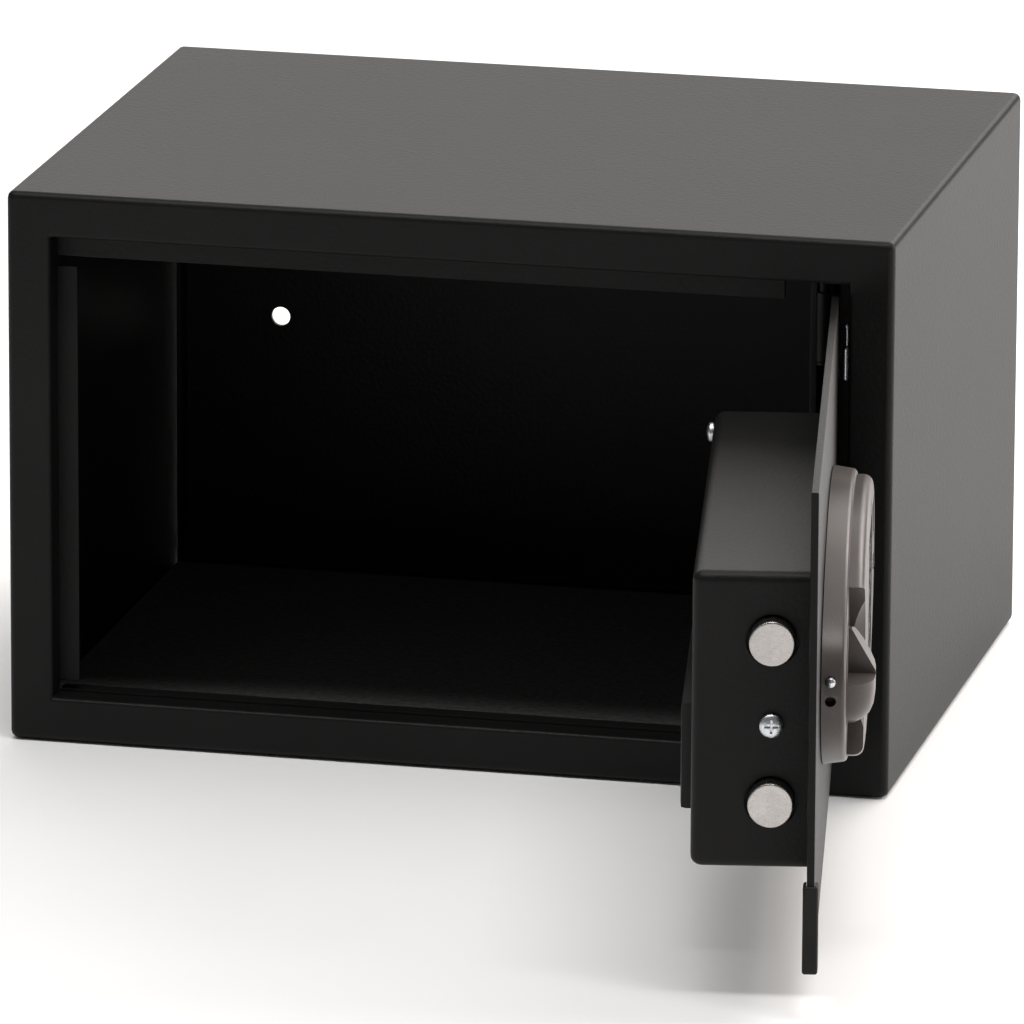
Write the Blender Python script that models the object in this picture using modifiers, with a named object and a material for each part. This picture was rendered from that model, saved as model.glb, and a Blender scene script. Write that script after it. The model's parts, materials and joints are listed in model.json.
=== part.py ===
"""In-room safe: folded steel cabinet, hinged door with its lock case, keypad housing and knob.

Frame: metres, +Z up, +Y from the front into the cabinet, +X to the hinge side.
The origin is the middle of the underside.  Door pieces are drawn for a closed door and hang on
one frame at the hinge axis, which is turned to the stored open position.
"""
import math

import bmesh
import bpy
from mathutils import Matrix, Vector

# ---- cabinet ----
WIDTH = 0.310
HEIGHT = 0.195
DEPTH = 0.232
SHEET = 0.0015
BEND = 0.0025
FLANGE = 0.0155
RECESS = 0.0095
GAP = 0.0003
HALF_W = WIDTH / 2
OPEN_X = HALF_W - FLANGE
OPEN_LOW = FLANGE
OPEN_TOP = HEIGHT - FLANGE
FRONT = -DEPTH / 2
BACK = DEPTH / 2
STOP_LEFT = 0.007
STOP_TOP = 0.0085
STOP_LEG = 0.0078
SILL_RISE = 0.0009
ANCHOR_X = 0.116
ANCHOR_Z = 0.097
ANCHOR_R = 0.0035
BACK_SHEET = 0.0016
BACK_EDGE = 0.010
MAT_THICK = 0.003

# ---- door ----
PLATE = 0.0025
DOOR_RECESS = 0.006
SIDE_GAP = 0.0015
LOW_GAP = 0.0012
TOP_GAP = 0.0045
EDGE_TO_PIVOT = 0.0094
FACE_TO_PIVOT = 0.0054
OPEN_ANGLE = math.radians(100.0)
DOOR_X = OPEN_X - SIDE_GAP
DOOR_LOW = OPEN_LOW + LOW_GAP
DOOR_TOP = OPEN_TOP - TOP_GAP
FACE_OUT = FRONT + DOOR_RECESS
FACE_IN = FACE_OUT + PLATE
PIVOT = Vector((DOOR_X - EDGE_TO_PIVOT, FACE_OUT + FACE_TO_PIVOT, 0.0))
PIN_R = 0.0015
RUNNING = 0.00006
BARREL_R = 0.0026
BARREL_LEN = 0.024

# ---- lock case on the inner face of the door ----
CASE_NEAR = DOOR_X - 0.256
CASE_FAR = DOOR_X - 0.050
CASE_LOW = 0.0447
CASE_TOP = 0.1430
CASE_IN = FACE_OUT + 0.0405
CASE_SHEET = 0.0012
CASE_BEND = 0.0035
BOLT_R = 0.0075
BOLT_HOLE_R = 0.0086
BOLT_LEN = 0.046
BOLT_OUT = 0.005
BOLT_Y = FACE_OUT + 0.0148
LOCK_Z = 0.094
BOLT_SPREAD = 0.0268
END_SCREW_Z = 0.0927
THROW = 0.018
CHAMFER = 0.0008
HOLDER_LOW = (-0.0710, 0.0519)
HOLDER_HIGH = (0.0350, 0.0849)
HOLDER_DEPTH = 0.0160
LID_THICK = 0.0046
CELL_R = 0.0071
CELL_LEN = 0.0500
RESET_X = 0.0600
RESET_Z = 0.1200
CARRIAGE_X = CASE_NEAR - BOLT_OUT + BOLT_LEN + GAP + 0.001
CARRIAGE_Y = BOLT_Y + 0.0072
CARRIAGE_HALF = 0.035
ARM_END = 0.0150
ARM_LOW = 0.0745
ARM_TOP = 0.0880
CAM_PIN_REACH = THROW / 2 * math.sqrt(2.0)
PLUNGER_X = -0.010
PLUNGER_R = 0.0021

# ---- housing on the outer face of the door ----
HOUSING_X = DOOR_X - 0.130
HOUSING_Z = 0.095
HOUSING_A = 0.100
HOUSING_B = 0.043
HOUSING_H = 0.0130
HOUSING_WALL = 0.002
SHOULDER = 0.0030
PLATE_H = 0.0078
PLATE_EDGE = 0.0016
PLATE_TAPER = 0.0010
POD_INSET = 0.0004
POD_SCOOP = 0.031
DISH_R = 0.0205
DISH_H = 0.0052
KNOB_X = DOOR_X - 0.200
KNOB_R = 0.0162
KNOB_SKIRT = 0.0026
KNOB_H = 0.0170
SPINDLE_R = 0.004
KEYS_X = DOOR_X - 0.103
KEY_PITCH_X = 0.0150
KEY_PITCH_Z = 0.0118
KEY_W = 0.0118
KEY_H = 0.0090
KEY_SUNK = 0.0004
KEY_THICK = 0.0018
KEYPAD_HALF_X = 0.0245
KEYPAD_HALF_Z = 0.0245
LOCKHOLE_X = DOOR_X - 0.0608
CAP_W = 0.0150
CAP_H = 0.0170
CAP_THICK = 0.0010
CAP_TRAVEL = 0.0130
LAMP_Z = HOUSING_Z + 0.0285
LAMP_SPOTS = [(KEYS_X - 0.006, 0, LAMP_Z), (KEYS_X + 0.006, 0, LAMP_Z)]
CONTACT_R = 0.0016
CONTACT_OUT = 0.0030
CONTACT_Z = 0.0995
SOCKET_Z = 0.0930

X_AXIS = Vector((1, 0, 0))
Y_AXIS = Vector((0, 1, 0))
Z_AXIS = Vector((0, 0, 1))


# ---------------------------------------------------------------- scene and materials
def clear_scene():
    for old in list(bpy.data.objects):
        bpy.data.objects.remove(old, do_unlink=True)


def make_collection(name):
    made = bpy.data.collections.new(name)
    bpy.context.scene.collection.children.link(made)
    return made


clear_scene()
PARTS = make_collection("in_room_safe")
CUTTERS = make_collection("cutters")


def material(name, colour, roughness, metallic):
    mat = bpy.data.materials.new(name)
    mat.use_nodes = True
    shader = mat.node_tree.nodes["Principled BSDF"]
    shader.inputs["Base Color"].default_value = (*colour, 1.0)
    shader.inputs["Roughness"].default_value = roughness
    shader.inputs["Metallic"].default_value = metallic
    mat.diffuse_color = (*colour, 1.0)
    return mat


LOOKS = {
    "paint": ((0.035, 0.035, 0.035), 0.55, 0.0),
    "zinc": ((0.62, 0.63, 0.65), 0.35, 1.0),
    "chrome": ((0.75, 0.75, 0.76), 0.15, 1.0),
    "champagne": ((0.42, 0.39, 0.37), 0.35, 0.6),
    "felt": ((0.03, 0.03, 0.03), 0.95, 0.0),
    "black_plastic": ((0.02, 0.02, 0.02), 0.45, 0.0),
    "rubber": ((0.025, 0.025, 0.025), 0.7, 0.0),
    "board": ((0.02, 0.15, 0.05), 0.5, 0.0),
    "copper": ((0.6, 0.25, 0.12), 0.35, 1.0),
    "cell": ((0.10, 0.10, 0.12), 0.3, 0.4),
    "red": ((0.5, 0.02, 0.02), 0.3, 0.0),
    "green": ((0.02, 0.4, 0.05), 0.3, 0.0),
    "key_grey": ((0.30, 0.30, 0.31), 0.5, 0.0),
}


# ---------------------------------------------------------------- frames and placing
def make_frame(name, at, turn):
    frame = bpy.data.objects.new(name, None)
    frame.location = at
    frame.rotation_euler = (0, 0, turn)
    PARTS.objects.link(frame)
    return frame


CABINET = make_frame("cabinet_frame", Vector((0, 0, 0)), 0.0)
DOOR = make_frame("door_frame", PIVOT, OPEN_ANGLE)
BASE_OF = {CABINET: Vector((0, 0, 0)), DOOR: PIVOT}


def put(name, bm, frame, at=(0, 0, 0), look=None, turn=(0, 0, 0)):
    """Object from a mesh drawn about its own origin, set at a closed-door position."""
    mesh = bpy.data.meshes.new(name)
    bm.to_mesh(mesh)
    bm.free()
    made = bpy.data.objects.new(name, mesh)
    made.parent = frame
    made.location = Vector(at) - BASE_OF[frame]
    made.rotation_euler = turn
    if look is None:
        CUTTERS.objects.link(made)
        made.hide_render = True
        made.display_type = "WIRE"
    else:
        PARTS.objects.link(made)
        mesh.materials.append(material(name, *LOOKS[look]))
    return made


def smooth(made, degrees=35):
    for face in made.data.polygons:
        face.use_smooth = True
    made.data.set_sharp_from_angle(angle=math.radians(degrees))


def round_edges(made, width, segments=2):
    mod = made.modifiers.new("edges", "BEVEL")
    mod.width = width
    mod.segments = segments
    mod.limit_method = "ANGLE"
    mod.angle_limit = math.radians(40)
    smooth(made)


def cut(made, cutter, mode="DIFFERENCE"):
    mod = made.modifiers.new(mode.lower(), "BOOLEAN")
    mod.operation = mode
    mod.object = cutter
    mod.solver = "EXACT"


# ---------------------------------------------------------------- mesh shapes
def box_mesh(low, high):
    low = Vector(low)
    high = Vector(high)
    bm = bmesh.new()
    bmesh.ops.create_cube(bm, size=1.0)
    size = high - low
    bmesh.ops.scale(bm, vec=size, verts=bm.verts)
    bmesh.ops.translate(bm, vec=(low + high) / 2, verts=bm.verts)
    return bm


def rod_mesh(radius, start, end, axis=Z_AXIS, segments=32, tip=0.0):
    """Round bar along an axis through the origin, with a chamfer of `tip` at its end."""
    bm = bmesh.new()
    length = end - start
    bmesh.ops.create_cone(bm, cap_ends=True, segments=segments, radius1=radius, radius2=radius, depth=length)
    bmesh.ops.translate(bm, vec=(0, 0, start + length / 2), verts=bm.verts)
    if tip > 0:
        level = end - 1e-6
        rim = [e for e in bm.edges if min(v.co.z for v in e.verts) > level]
        bmesh.ops.bevel(bm, geom=rim, offset=tip, segments=2, profile=0.5, affect="EDGES")
    bm.transform(Z_AXIS.rotation_difference(axis).to_matrix().to_4x4())
    return bm


def boxes_mesh(pairs):
    """Several separate boxes in one cutter mesh."""
    bm = bmesh.new()
    for low, high in pairs:
        low = Vector(low)
        high = Vector(high)
        size = high - low
        shift = Matrix.Translation((low + high) / 2) @ Matrix.Diagonal((*size, 1.0))
        bmesh.ops.create_cube(bm, size=1.0, matrix=shift)
    return bm


def rods_mesh(radius, centres, start, end, axis, segments=32):
    """Several separate parallel bars in one cutter mesh."""
    bm = bmesh.new()
    spin = Z_AXIS.rotation_difference(axis).to_matrix().to_4x4()
    for centre in centres:
        middle = Vector(centre) + axis * (start + end) / 2
        place = Matrix.Translation(middle) @ spin
        bmesh.ops.create_cone(bm, cap_ends=True, segments=segments, radius1=radius, radius2=radius,
                              depth=end - start, matrix=place)
    return bm


def arc(centre, radius, first, last, steps):
    """Points of an arc in degrees, ends included."""
    points = []
    for i in range(steps + 1):
        angle = math.radians(first + (last - first) * i / steps)
        points.append((centre[0] + radius * math.cos(angle), centre[1] + radius * math.sin(angle)))
    return points


def turned(name, profile, frame, at, look, axis=Z_AXIS, steps=32):
    """Solid of revolution: the profile (radius, height) is spun about the node's origin."""
    bm = bmesh.new()
    last = None
    for radius, height in profile:
        vert = bm.verts.new((radius, 0, height))
        if last is not None:
            bm.edges.new((last, vert))
        last = vert
    if profile[0][0] > 0:
        bm.verts.ensure_lookup_table()
        bm.edges.new((last, bm.verts[0]))
    turn = Z_AXIS.rotation_difference(axis).to_euler()
    made = put(name, bm, frame, at, look, turn)
    mod = made.modifiers.new("turn", "SCREW")
    mod.steps = steps
    mod.render_steps = steps
    mod.use_merge_vertices = True
    mod.merge_threshold = 0.00001
    mod.use_smooth_shade = True
    return made


def rounded_rectangle(half_a, half_b, radius, steps):
    """Outline points, counter-clockwise, with the same count at every size."""
    points = []
    corners = ((half_a - radius, half_b - radius, 0), (radius - half_a, half_b - radius, 90),
               (radius - half_a, radius - half_b, 180), (half_a - radius, radius - half_b, 270))
    for a, b, first in corners:
        points.extend(arc((a, b), radius, first, first + 90, steps))
    return points


def ellipse(half_a, half_b, steps):
    points = []
    for i in range(steps):
        angle = 2 * math.pi * i / steps
        points.append((half_a * math.cos(angle), half_b * math.sin(angle)))
    return points


def stacked_rings(rings, close_last):
    """Open surface through outlines (points in X and Z) at levels in Y."""
    bm = bmesh.new()
    rows = []
    for outline, level in rings:
        rows.append([bm.verts.new((a, level, b)) for a, b in outline])
    count = len(rows[0])
    for low, high in zip(rows, rows[1:]):
        for i in range(count):
            j = (i + 1) % count
            bm.faces.new((low[i], low[j], high[j], high[i]))
    if close_last:
        bm.faces.new(rows[-1])
    bmesh.ops.recalc_face_normals(bm, faces=bm.faces)
    return bm


def strip_mesh(path, axis, low, high):
    """Open surface: a bent line in the two other axes, drawn out along an axis."""
    bm = bmesh.new()
    rows = []
    for level in (low, high):
        row = []
        for a, b in path:
            point = (a, b, level) if axis == "Z" else (level, a, b)
            row.append(bm.verts.new(point))
        rows.append(row)
    for i in range(len(path) - 1):
        bm.faces.new((rows[0][i], rows[0][i + 1], rows[1][i + 1], rows[1][i]))
    return bm


def rounded_path(points, radius, steps=3):
    """Bent line with each inner corner rounded."""
    result = [points[0]]
    for before, corner, after in zip(points, points[1:], points[2:]):
        corner = Vector(corner)
        back = (Vector(before) - corner).normalized()
        ahead = (Vector(after) - corner).normalized()
        start = corner + back * radius
        end = corner + ahead * radius
        centre = start + ahead * radius
        for i in range(steps + 1):
            angle = math.pi / 2 * i / steps
            spot = centre - ahead * radius * math.cos(angle) - back * radius * math.sin(angle)
            result.append((spot.x, spot.y))
        result[-1] = (end.x, end.y)
    result.append(points[-1])
    return result


def thicken(made, thickness, offset):
    mod = made.modifiers.new("sheet", "SOLIDIFY")
    mod.thickness = thickness
    mod.offset = offset
    mod.use_even_offset = True
    smooth(made)


def folded_strip(name, path, axis, low, high, frame, thickness, look, radius=0.0):
    """Bent sheet strip centred on a line."""
    if radius > 0:
        path = rounded_path(path, radius)
    made = put(name, strip_mesh(path, axis, low, high), frame, (0, 0, 0), look)
    thicken(made, thickness, 0.0)
    return made


# ---------------------------------------------------------------- cabinet pieces
def frame_ring(inset, level, radius):
    outline = rounded_rectangle(HALF_W - inset, HEIGHT / 2 - inset, radius, 3)
    lifted = [(a, b + HEIGHT / 2) for a, b in outline]
    return lifted, level


def body_shell():
    rings = [frame_ring(0.0, BACK, BEND), frame_ring(0.0, FRONT + BEND, BEND)]
    for out, depth in arc((BEND, BEND), BEND, 202.5, 270, 3):
        rings.append(frame_ring(out, FRONT + depth, BEND - out * 0.6))
    lip = SHEET
    for out, depth in arc((FLANGE - lip, lip), lip, 270, 360, 3):
        rings.append(frame_ring(out, FRONT + depth, 0.0008))
    rings.append(frame_ring(FLANGE, FRONT + RECESS, 0.0008))
    made = put("body_shell", stacked_rings(rings, False), CABINET, (0, 0, 0), "paint")
    thicken(made, SHEET, -1.0)
    return made


def back_panel():
    """Shallow tray set into the back of the wrap, its edges folded forwards."""
    edge = SHEET + 2 * GAP
    outer = BACK - 0.0002
    rings = []
    for inset, level in ((0.0, outer - BACK_EDGE), (0.0, outer - 0.0012), (0.0012, outer)):
        outline = rounded_rectangle(HALF_W - edge - inset, HEIGHT / 2 - edge - inset, 0.0022 - inset, 3)
        lifted = [(a, b + HEIGHT / 2) for a, b in outline]
        rings.append((lifted, level))
    made = put("back_panel", stacked_rings(rings, True), CABINET, (0, 0, 0), "paint")
    thicken(made, BACK_SHEET, -1.0)
    centres = [(-ANCHOR_X, 0, ANCHOR_Z), (ANCHOR_X, 0, ANCHOR_Z)]
    holes = put("anchor_holes", rods_mesh(ANCHOR_R, centres, BACK - 0.01, BACK + 0.01, Y_AXIS), CABINET)
    cut(made, holes)


def stop_strips():
    lip_y = FRONT + RECESS + GAP + SHEET / 2
    leg_x = OPEN_X + SHEET + GAP + SHEET / 2
    near = FRONT + RECESS - STOP_LEG
    left = [(-leg_x, near), (-leg_x, lip_y), (STOP_LEFT - OPEN_X, lip_y)]
    folded_strip("stop_strip_left", left, "Z", OPEN_LOW + 0.004, OPEN_TOP - 0.012, CABINET, SHEET, "paint", SHEET)
    leg_z = OPEN_TOP + SHEET + GAP + SHEET / 2
    top = [(near, leg_z), (lip_y, leg_z), (lip_y, OPEN_TOP - STOP_TOP)]
    folded_strip("stop_strip_top", top, "X", -OPEN_X, OPEN_X - 0.024, CABINET, SHEET, "paint", SHEET)
    leg_z = OPEN_LOW - SHEET - GAP - SHEET / 2
    rise = OPEN_LOW + SILL_RISE - SHEET / 2
    sill = [(near, leg_z), (lip_y, leg_z), (lip_y, rise), (lip_y + 0.006, rise)]
    made = put("sill_strip", strip_mesh(sill, "X", -OPEN_X, OPEN_X - 0.024), CABINET, (0, 0, 0), "paint")
    thicken(made, SHEET, 0.0)


def hinge_channel():
    inner_x = DOOR_X - 0.0147
    back_y = FRONT + 0.034
    path = [(inner_x, FRONT + 0.0212), (inner_x, back_y), (HALF_W - SHEET - GAP, back_y)]
    folded_strip("hinge_channel", path, "Z", 0.004, HEIGHT - 0.004, CABINET, 0.0026, "paint", 0.003)


def hinge_bracket(name, low, high, leg):
    """Flat ear with a bush hole for the hinge pin, turned along the side of the cabinet."""
    middle = (low + high) / 2
    right = HALF_W - SHEET - GAP - (high - low) / 2
    near = FRONT + RECESS + GAP
    bm = bmesh.new()
    rows = []
    for y in (near, PIVOT.y + 0.0065):
        points = ((PIVOT.x - 0.005, middle), (right, middle), (right, middle + leg))
        rows.append([bm.verts.new((x, y, z)) for x, z in points])
    for i in range(2):
        bm.faces.new((rows[0][i], rows[0][i + 1], rows[1][i + 1], rows[1][i]))
    made = put(name, bm, CABINET, (0, 0, 0), "paint")
    thicken(made, high - low, 0.0)
    hole = put(name + "_hole", rod_mesh(PIN_R + RUNNING, low - 0.01, high + 0.01), CABINET, PIVOT)
    cut(made, hole)


def floor_mat():
    low = (SHEET + 0.001 - HALF_W, FRONT + RECESS + 0.028, SHEET + GAP)
    high = (HALF_W - SHEET - 0.001, BACK - BACK_EDGE - 0.0010, SHEET + GAP + MAT_THICK)
    made = put("floor_mat", box_mesh(low, high), CABINET, (0, 0, 0), "felt")
    keep = 0.0024
    low = (DOOR_X - 0.0135 - 0.0012 - keep, FRONT, -0.01)
    high = (HALF_W + 0.01, FRONT + 0.034 + 0.0012 + keep, 0.02)
    cut(made, put("mat_corner", box_mesh(low, high), CABINET))


def hinge_pocket_pin():
    """Headed stud: a bead on a thin neck over a thicker shank."""
    at = (0.1338, FRONT + 0.0280, 0.1392)
    profile = [(0, 0.0205), (0.0008, 0.0202), (0.0012, 0.0193), (0.0008, 0.0184), (0.0006, 0.0180), (0.0006, 0.0122),
               (0.0012, 0.0116), (0.0014, 0.0110), (0.0014, 0.0005), (0.0010, 0), (0, 0)]
    turned("hinge_pocket_pin", profile, CABINET, at, "zinc", steps=16)


# ---------------------------------------------------------------- door and hinge
def door_plate():
    low = (-DOOR_X, FACE_OUT, DOOR_LOW)
    high = (DOOR_X, FACE_IN, DOOR_TOP)
    made = put("door_plate", box_mesh(low, high), DOOR, (0, 0, 0), "paint")
    round_edges(made, 0.0004, 2)
    spindle = put("spindle_hole", rod_mesh(SPINDLE_R + 0.0004, -0.03, 0.03, Y_AXIS), DOOR,
                  (KNOB_X, FACE_OUT, LOCK_Z))
    cut(made, spindle)
    barrel = put("cylinder_hole", rod_mesh(0.0084, -0.03, 0.03, Y_AXIS), DOOR, (LOCKHOLE_X, FACE_OUT, LOCK_Z))
    cut(made, barrel)
    low = (KEYS_X - 0.012, FACE_OUT - 0.01, LOCK_Z - 0.004)
    high = (KEYS_X + 0.012, FACE_IN + 0.01, LOCK_Z + 0.004)
    cut(made, put("cable_slot", box_mesh(low, high), DOOR))
    return made


def hinge_barrels():
    profile = [(PIN_R + RUNNING, BARREL_LEN), (BARREL_R, BARREL_LEN), (BARREL_R, 0), (PIN_R + RUNNING, 0)]
    turned("hinge_barrel_upper", profile, DOOR, PIVOT + Z_AXIS * (DOOR_TOP - BARREL_LEN - 0.001), "paint", steps=24)
    turned("hinge_barrel_lower", profile, DOOR, PIVOT + Z_AXIS * (DOOR_LOW + 0.001), "paint", steps=24)


def hinge_pins():
    upper = [(0, 0.0305), (PIN_R - 0.0003, 0.0305), (PIN_R, 0.0302), (PIN_R, 0.0012), (0.0023, 0.0010),
             (0.0023, 0), (0, 0)]
    top_end = DOOR_TOP + TOP_GAP - 0.0003
    turned("hinge_pin_upper", upper, DOOR, PIVOT + Z_AXIS * (top_end - 0.0305), "paint", steps=24)
    low_end = DOOR_LOW - 0.0048
    length = 0.0312
    lower = [(0, length), (0.0023, length), (0.0023, length - 0.001), (PIN_R, length - 0.0012), (PIN_R, 0.0003),
             (PIN_R - 0.0003, 0), (0, 0)]
    turned("hinge_pin_lower", lower, DOOR, PIVOT + Z_AXIS * low_end, "paint", steps=24)


def corner_bumper():
    """Sleeve pushed over the lower free corner of the plate."""
    tall = 0.0285
    wide = 0.007
    thick = 0.0050
    middle = (FACE_OUT + FACE_IN) / 2
    left = -DOOR_X - 0.0011
    low = (left, middle - thick / 2, DOOR_LOW - 0.0008)
    high = (left + wide, middle + thick / 2, DOOR_LOW + tall)
    made = put("corner_bumper", box_mesh(low, high), DOOR, (0, 0, 0), "rubber")
    round_edges(made, 0.0009, 3)
    low = (-DOOR_X - 0.0002, FACE_OUT - 0.0002, DOOR_LOW - 0.0002)
    high = (left + wide + 0.01, FACE_IN + 0.0002, DOOR_LOW + tall + 0.01)
    cut(made, put("bumper_slot", box_mesh(low, high), DOOR))


# ---------------------------------------------------------------- lock case
def lock_cover():
    half_a = (CASE_FAR - CASE_NEAR) / 2
    half_b = (CASE_TOP - CASE_LOW) / 2
    mid_x = (CASE_FAR + CASE_NEAR) / 2
    mid_z = (CASE_TOP + CASE_LOW) / 2
    rings = []
    mouth = FACE_IN + GAP
    depth = CASE_IN - mouth
    levels = [(0.0, 0.0), (0.0, depth - CASE_BEND)]
    levels += [(CASE_BEND - a, depth - CASE_BEND + b) for a, b in arc((0, 0), CASE_BEND, 22.5, 90, 3)]
    for inset, level in levels:
        radius = max(CASE_BEND - inset, 0.0007)
        outline = rounded_rectangle(half_a - inset, half_b - inset, radius, 4)
        rings.append((outline, level))
    made = put("lock_cover", stacked_rings(rings, True), DOOR, (mid_x, mouth, mid_z), "paint")
    thicken(made, CASE_SHEET, -1.0)
    centres = [(0, 0, -BOLT_SPREAD), (0, 0, BOLT_SPREAD)]
    holes = rods_mesh(BOLT_HOLE_R, centres, -0.01, 0.01, X_AXIS, 40)
    cut(made, put("bolt_holes", holes, DOOR, (CASE_NEAR, BOLT_Y, LOCK_Z)))
    screw = rod_mesh(0.0021, -0.01, 0.01, X_AXIS, 24)
    cut(made, put("end_screw_hole", screw, DOOR, (CASE_NEAR, BOLT_Y, END_SCREW_Z)))
    window = boxes_mesh([((HOLDER_LOW[0] - 0.0004, -0.01, HOLDER_LOW[1] - 0.0004),
                          (HOLDER_HIGH[0] + 0.0004, 0.01, HOLDER_HIGH[1] + 0.0004))])
    cut(made, put("battery_window", window, DOOR, (0, CASE_IN, 0)))
    spots = [(CASE_FAR - 0.006, 0, CASE_TOP - 0.0065), (CASE_FAR - 0.006, 0, CASE_LOW + 0.0065)]
    cut(made, put("cover_screw_holes", rods_mesh(0.0020, spots, -0.01, 0.01, Y_AXIS, 24), DOOR, (0, CASE_IN, 0)))
    reset = rod_mesh(0.0036, -0.01, 0.01, Y_AXIS, 24)
    cut(made, put("reset_hole", reset, DOOR, (RESET_X, CASE_IN, RESET_Z)))


def pan_screw(name, at, axis, head_r, head_h, shank_r, shank, frame=None):
    """Cross-recess pan screw: the head stands along the axis, the shank goes the other way."""
    profile = [(0, head_h)]
    profile += [(head_r * math.sin(math.radians(a)), head_h * (0.45 + 0.55 * math.cos(math.radians(a))))
                for a in (25, 50, 72, 90)]
    profile += [(head_r, 0), (shank_r, 0), (shank_r, -shank), (0, -shank)]
    made = turned(name, profile, DOOR if frame is None else frame, at, "zinc", axis, 24)
    arm = head_r * 0.55
    thin = head_r * 0.10
    deep = head_h * 0.45
    slots = boxes_mesh([((-arm, -thin, deep), (arm, thin, head_h * 2)), ])
    cross = boxes_mesh([((-thin, -arm, deep), (thin, arm, head_h * 2)), ])
    turn = Z_AXIS.rotation_difference(axis).to_euler()
    cut(made, put(name + "_slot_a", slots, DOOR if frame is None else frame, at, None, turn))
    cut(made, put(name + "_slot_b", cross, DOOR if frame is None else frame, at, None, turn))


def case_screws():
    pan_screw("cover_screw_end", (CASE_NEAR - GAP, BOLT_Y, END_SCREW_Z), -X_AXIS, 0.0040, 0.0026, 0.0016, 0.008)
    for name, z in (("cover_screw_top", CASE_TOP - 0.0065), ("cover_screw_bottom", CASE_LOW + 0.0065)):
        pan_screw(name, (CASE_FAR - 0.006, CASE_IN + GAP, z), Y_AXIS, 0.0033, 0.0022, 0.0015, 0.008)


def bolt_guide():
    wall = CASE_NEAR + CASE_SHEET + 0.0020
    foot = FACE_IN + GAP + 0.001
    path = [(wall + 0.016, foot), (wall, foot), (wall, BOLT_Y + 0.011)]
    made = folded_strip("bolt_guide", path, "Z", LOCK_Z - 0.040, LOCK_Z + 0.040, DOOR, 0.002, "paint", 0.002)
    centres = [(0, 0, -BOLT_SPREAD), (0, 0, BOLT_SPREAD)]
    cut(made, put("guide_holes", rods_mesh(BOLT_R + 0.0002, centres, -0.01, 0.01, X_AXIS, 32), DOOR,
                  (wall, BOLT_Y, LOCK_Z)))
    cut(made, put("guide_screw_hole", rod_mesh(0.0019, -0.01, 0.01, X_AXIS, 16), DOOR, (wall, BOLT_Y, END_SCREW_Z)))


def bolts():
    for name, z in (("bolt_upper", LOCK_Z + BOLT_SPREAD), ("bolt_lower", LOCK_Z - BOLT_SPREAD)):
        bm = rod_mesh(BOLT_R, 0.0, BOLT_LEN, -X_AXIS, 40, CHAMFER)
        made = put(name, bm, DOOR, (CASE_NEAR - BOLT_OUT + BOLT_LEN, BOLT_Y, z), "chrome")
        smooth(made, 50)


def bolt_carriage():
    """Angle plate behind both bolts with a cam slot and a tail that the plunger drops into."""
    path = [(CARRIAGE_X, BOLT_Y - 0.0070), (CARRIAGE_X, CARRIAGE_Y), (ARM_END, CARRIAGE_Y)]
    made = folded_strip("bolt_carriage", path, "Z", LOCK_Z - CARRIAGE_HALF, LOCK_Z + CARRIAGE_HALF, DOOR, 0.002,
                        "zinc", 0.002)
    body_end = KNOB_X + 0.022
    waste = [((body_end, CARRIAGE_Y - 0.01, LOCK_Z - 0.05), (ARM_END + 0.01, CARRIAGE_Y + 0.01, ARM_LOW)),
             ((body_end, CARRIAGE_Y - 0.01, ARM_TOP), (ARM_END + 0.01, CARRIAGE_Y + 0.01, LOCK_Z + 0.05))]
    cut(made, put("carriage_waste", boxes_mesh(waste), DOOR))
    slot_x = KNOB_X + THROW / 2
    low = (slot_x - 0.0032, CARRIAGE_Y - 0.01, LOCK_Z + THROW / 2 - 0.0036)
    high = (slot_x + 0.0032, CARRIAGE_Y + 0.01, LOCK_Z + CAM_PIN_REACH + 0.0036)
    cut(made, put("cam_slot", box_mesh(low, high), DOOR))
    half = PLUNGER_R + 0.0007
    notches = []
    for x in (PLUNGER_X, PLUNGER_X + THROW):
        notches.append(((x - half, CARRIAGE_Y - 0.01, ARM_TOP - 0.0065), (x + half, CARRIAGE_Y + 0.01, ARM_TOP + 0.01)))
    cut(made, put("plunger_notches", boxes_mesh(notches), DOOR))


def solenoid():
    low_z = ARM_TOP + 0.0030
    high_z = low_z + 0.0300
    wall = 0.0015
    half = 0.0095
    path_low = (PLUNGER_X - half, low_z)
    points = [(PLUNGER_X + half, low_z), path_low, (PLUNGER_X - half, high_z), (PLUNGER_X + half, high_z)]
    bm = bmesh.new()
    rows = []
    for y in (CARRIAGE_Y - 0.008, CARRIAGE_Y + 0.008):
        rows.append([bm.verts.new((x, y, z)) for x, z in points])
    for i in range(3):
        bm.faces.new((rows[0][i], rows[0][i + 1], rows[1][i + 1], rows[1][i]))
    frame = put("solenoid_frame", bm, DOOR, (0, 0, 0), "zinc")
    thicken(frame, wall, 0.0)
    hole = put("plunger_hole", rod_mesh(PLUNGER_R + 0.0004, low_z - 0.01, low_z + 0.01, Z_AXIS, 24), DOOR,
               (PLUNGER_X, CARRIAGE_Y, 0))
    cut(frame, hole)
    base = low_z + wall / 2 + GAP
    tall = high_z - low_z - wall - 2 * GAP
    bore = PLUNGER_R + 0.0003
    profile = [(0.002, tall), (0.0080, tall), (0.0080, tall - 0.0015), (0.0074, tall - 0.0015),
               (0.0074, 0.0015), (0.0080, 0.0015), (0.0080, 0), (bore, 0), (bore, tall - 0.004),
               (0.002, tall - 0.004)]
    turned("solenoid_coil", profile, DOOR, (PLUNGER_X, CARRIAGE_Y, base), "copper")
    tip = ARM_TOP + 0.0006
    reach = 0.0165
    profile = [(0, reach), (PLUNGER_R, reach), (PLUNGER_R, 0.0005), (PLUNGER_R - 0.0005, 0), (0, 0)]
    turned("solenoid_plunger", profile, DOOR, (PLUNGER_X, CARRIAGE_Y, tip), "zinc", steps=24)


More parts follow.
